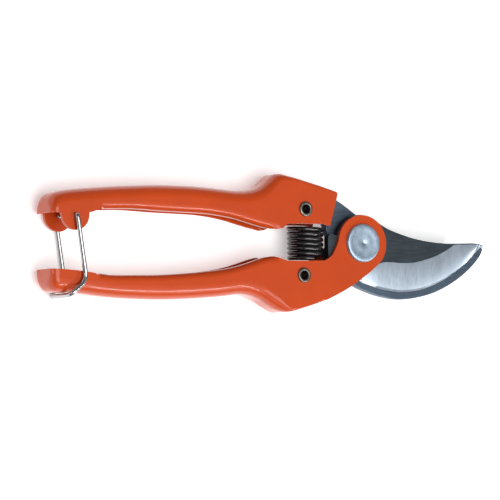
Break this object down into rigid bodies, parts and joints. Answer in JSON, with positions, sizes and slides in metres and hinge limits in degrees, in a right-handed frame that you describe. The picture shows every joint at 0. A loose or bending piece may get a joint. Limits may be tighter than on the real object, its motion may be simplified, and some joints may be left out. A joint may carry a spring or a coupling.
{
  "type": "bypass pruning shears",
  "caption": "Bypass pruning shears with orange pressed channel handles, a cutting blade and hooked counter-blade on one pivot, a coil spring and a wire latch bail.",
  "frame": {"origin": "on the pivot axis, at the outer face of the pivot nut, which is the flat back of the tool", "axes": "+X along the tool to the point of the blade; +Y in the plane of the blades toward the upper handle, the one that carries the bail; +Z along the pivot bolt toward its round flat head. Shown closed and latched"},
  "size_m": [0.2249, 0.0607, 0.0211],
  "materials": {
    "orange_paint": "glossy orange paint on pressed steel",
    "blade_steel": "dark blued steel with a bright ground bevel",
    "zinc_plate": "zinc plated",
    "rivet_steel": "dark steel",
    "spring_black": "glossy black coating",
    "bright_wire": "bright plated wire"
  },
  "bodies": {
    "lower_lever": {"lower_handle": "orange_paint", "cutting_blade": "blade_steel", "pivot_bolt": "zinc_plate", "pivot_nut": "zinc_plate", "lock_washer": "zinc_plate", "lower_rivet": "rivet_steel", "coil_spring": "spring_black"},
    "upper_lever": {"upper_handle": "orange_paint", "counter_blade": "blade_steel", "upper_rivet": "rivet_steel"},
    "bail": {"latch_bail": "bright_wire"}
  },
  "joints": [
    {"name": "handle_pivot", "type": "hinge", "parent": "lower_lever", "child": "upper_lever", "pos_m": [0, 0, 0.01], "axis": [0, 0, -1], "range_deg": [0, 30], "deforming": ["coil_spring"]},
    {"name": "bail_swing", "type": "hinge", "parent": "upper_lever", "child": "bail", "pos_m": [-0.146, 0.0123, 0.00985], "axis": [0, 0, -1], "range_deg": [0, 235]}
  ]
}
